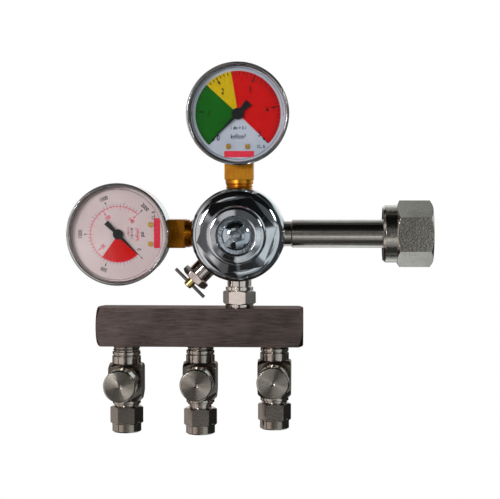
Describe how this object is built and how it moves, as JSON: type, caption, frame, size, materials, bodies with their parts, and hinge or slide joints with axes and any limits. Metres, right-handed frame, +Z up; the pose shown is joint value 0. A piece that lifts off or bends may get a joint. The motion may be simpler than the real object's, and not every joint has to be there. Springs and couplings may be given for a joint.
{
  "type": "carbon dioxide pressure regulator",
  "caption": "Carbon dioxide cylinder regulator with union nut, adjusting screw, pressure gauges, relief valve and a square manifold with knob-operated outlet valves.",
  "frame": {"origin": "on the axis of the inlet nut, where the washer meets the cylinder valve", "axes": "+X out of the inlet nut, +Z up towards the delivery gauge, -Y the front with the dials and knobs"},
  "size_m": [0.1792, 0.0483, 0.1837],
  "materials": {
    "body_chrome": "bright chrome over brass",
    "bonnet_chrome": "polished chrome over brass",
    "screw_chrome": "polished chrome",
    "spring_steel": "oiled spring wire",
    "plain_steel": "turned steel",
    "diaphragm_rubber": "fabric reinforced black rubber",
    "turned_brass": "turned brass",
    "polished_stem": "polished turned bar",
    "nut_nickel": "warm nickel plate",
    "washer_nylon": "natural nylon",
    "sintered_bronze": "sintered bronze",
    "fitting_nickel": "nickel plated brass",
    "pull_bar_steel": "ground steel pin",
    "manifold_steel": "brushed stainless bar",
    "valve_stem_steel": "ground stainless",
    "knob_metal": "faced in the lathe",
    "case_steel": "polished stainless steel",
    "clear_lens": "clear polycarbonate",
    "dial_white": "white enamel with printed scale",
    "gauge_brass": "machined brass",
    "bourdon_bronze": "drawn bronze tube",
    "pointer_black": "matt black"
  },
  "bodies": {
    "regulator": {"regulator_body": "body_chrome", "bonnet": "bonnet_chrome", "diaphragm": "diaphragm_rubber", "slip_ring": "turned_brass", "diaphragm_plate": "plain_steel", "regulating_spring": "spring_steel", "seat_nozzle": "turned_brass", "poppet_spring": "spring_steel", "inlet_stem": "polished_stem", "inlet_filter": "sintered_bronze", "inlet_washer": "washer_nylon", "relief_body": "fitting_nickel", "relief_spring": "spring_steel", "outlet_nipple": "fitting_nickel", "manifold": "manifold_steel", "manifold_plug": "manifold_steel", "valve_1_body": "fitting_nickel", "valve_1_gland": "fitting_nickel", "valve_1_nut": "fitting_nickel", "valve_1_ferrule": "turned_brass", "valve_2_body": "fitting_nickel", "valve_2_gland": "fitting_nickel", "valve_2_nut": "fitting_nickel", "valve_2_ferrule": "turned_brass", "valve_3_body": "fitting_nickel", "valve_3_gland": "fitting_nickel", "valve_3_nut": "fitting_nickel", "valve_3_ferrule": "turned_brass", "delivery_gauge_case": "case_steel", "delivery_gauge_lens": "clear_lens", "delivery_gauge_dial": "dial_white", "delivery_gauge_screws": "gauge_brass", "delivery_gauge_socket": "gauge_brass", "delivery_gauge_tube": "bourdon_bronze", "delivery_gauge_movement": "gauge_brass", "cylinder_gauge_case": "case_steel", "cylinder_gauge_lens": "clear_lens", "cylinder_gauge_dial": "dial_white", "cylinder_gauge_screws": "gauge_brass", "cylinder_gauge_socket": "gauge_brass", "cylinder_gauge_tube": "bourdon_bronze", "cylinder_gauge_movement": "gauge_brass"},
    "inlet_nut": {"inlet_nut": "nut_nickel"},
    "spring_seat": {"upper_spring_seat": "plain_steel"},
    "adjusting_screw": {"adjusting_screw": "screw_chrome"},
    "poppet": {"poppet": "turned_brass"},
    "relief_pull": {"relief_stem": "turned_brass", "relief_crossbar": "pull_bar_steel"},
    "valve_1_needle": {"valve_1_stem": "valve_stem_steel"},
    "valve_1_knob": {"valve_1_knob": "knob_metal"},
    "valve_2_needle": {"valve_2_stem": "valve_stem_steel"},
    "valve_2_knob": {"valve_2_knob": "knob_metal"},
    "valve_3_needle": {"valve_3_stem": "valve_stem_steel"},
    "valve_3_knob": {"valve_3_knob": "knob_metal"},
    "delivery_gauge_needle": {"delivery_gauge_pointer": "pointer_black", "delivery_gauge_pinion": "gauge_brass"},
    "delivery_gauge_sector": {"delivery_gauge_sector": "gauge_brass"},
    "cylinder_gauge_needle": {"cylinder_gauge_pointer": "pointer_black", "cylinder_gauge_pinion": "gauge_brass"},
    "cylinder_gauge_sector": {"cylinder_gauge_sector": "gauge_brass"}
  },
  "joints": [
    {"name": "inlet_nut_spin", "type": "hinge", "parent": "regulator", "child": "inlet_nut", "pos_m": [0, 0, 0], "axis": [1, 0, 0], "continuous": true},
    {"name": "spring_seat_slide", "type": "slide", "parent": "regulator", "child": "spring_seat", "axis": [0, 1, 0], "range_m": [0, 0.00451], "deforming": ["regulating_spring"]},
    {"name": "adjusting_screw_turn", "type": "hinge", "parent": "spring_seat", "child": "adjusting_screw", "pos_m": [-0.0825, 0, 0], "axis": [0, 1, 0], "range_deg": [0, 1080]},
    {"name": "poppet_lift", "type": "slide", "parent": "regulator", "child": "poppet", "axis": [0, 1, 0], "range_m": [0, 0.0008], "stiffness_N_per_m": 300, "springref_m": -0.004, "deforming": ["poppet_spring"]},
    {"name": "relief_pull", "type": "slide", "parent": "regulator", "child": "relief_pull", "axis": [-0.7071, 0, -0.7071], "range_m": [0, 0.002], "stiffness_N_per_m": 1000, "springref_m": -0.004, "deforming": ["relief_spring"]},
    {"name": "valve_1_needle_slide", "type": "slide", "parent": "regulator", "child": "valve_1_needle", "axis": [0, -1, 0], "range_m": [0, 0.00241]},
    {"name": "valve_1_knob_turn", "type": "hinge", "parent": "valve_1_needle", "child": "valve_1_knob", "pos_m": [-0.139, 0, -0.0729], "axis": [0, -1, 0], "range_deg": [0, 1080]},
    {"name": "valve_2_needle_slide", "type": "slide", "parent": "regulator", "child": "valve_2_needle", "axis": [0, -1, 0], "range_m": [0, 0.00241]},
    {"name": "valve_2_knob_turn", "type": "hinge", "parent": "valve_2_needle", "child": "valve_2_knob", "pos_m": [-0.102, 0, -0.0721], "axis": [0, -1, 0], "range_deg": [0, 1080]},
    {"name": "valve_3_needle_slide", "type": "slide", "parent": "regulator", "child": "valve_3_needle", "axis": [0, -1, 0], "range_m": [0, 0.00241]},
    {"name": "valve_3_knob_turn", "type": "hinge", "parent": "valve_3_needle", "child": "valve_3_knob", "pos_m": [-0.065, 0, -0.0709], "axis": [0, -1, 0], "range_deg": [0, 1080]},
    {"name": "delivery_gauge_needle_turn", "type": "hinge", "parent": "regulator", "child": "delivery_gauge_needle", "pos_m": [-0.0825, 0, 0.0587], "axis": [0, 1, 0], "range_deg": [0, 270], "stiffness_Nm_per_rad": 0.0002},
    {"name": "delivery_gauge_sector_turn", "type": "hinge", "parent": "regulator", "child": "delivery_gauge_sector", "pos_m": [-0.0825, 0, 0.0482], "axis": [0, -1, 0], "range_deg": [0, 45.1]},
    {"name": "cylinder_gauge_needle_turn", "type": "hinge", "parent": "regulator", "child": "cylinder_gauge_needle", "pos_m": [-0.1412, 0, 0], "axis": [0, 1, 0], "range_deg": [0, 270], "stiffness_Nm_per_rad": 0.0002},
    {"name": "cylinder_gauge_sector_turn", "type": "hinge", "parent": "regulator", "child": "cylinder_gauge_sector", "pos_m": [-0.1307, 0, 0], "axis": [0, -1, 0], "range_deg": [0, 45.1]}
  ],
  "couplings": [
    {"joint": "spring_seat_slide", "follows": "adjusting_screw_turn", "m_per_rad": 0.00023873},
    {"joint": "valve_1_needle_slide", "follows": "valve_1_knob_turn", "m_per_rad": 0.00012732},
    {"joint": "valve_2_needle_slide", "follows": "valve_2_knob_turn", "m_per_rad": 0.00012732},
    {"joint": "valve_3_needle_slide", "follows": "valve_3_knob_turn", "m_per_rad": 0.00012732},
    {"joint": "delivery_gauge_sector_turn", "follows": "delivery_gauge_needle_turn", "ratio": 0.16667},
    {"joint": "cylinder_gauge_sector_turn", "follows": "cylinder_gauge_needle_turn", "ratio": 0.16667}
  ]
}
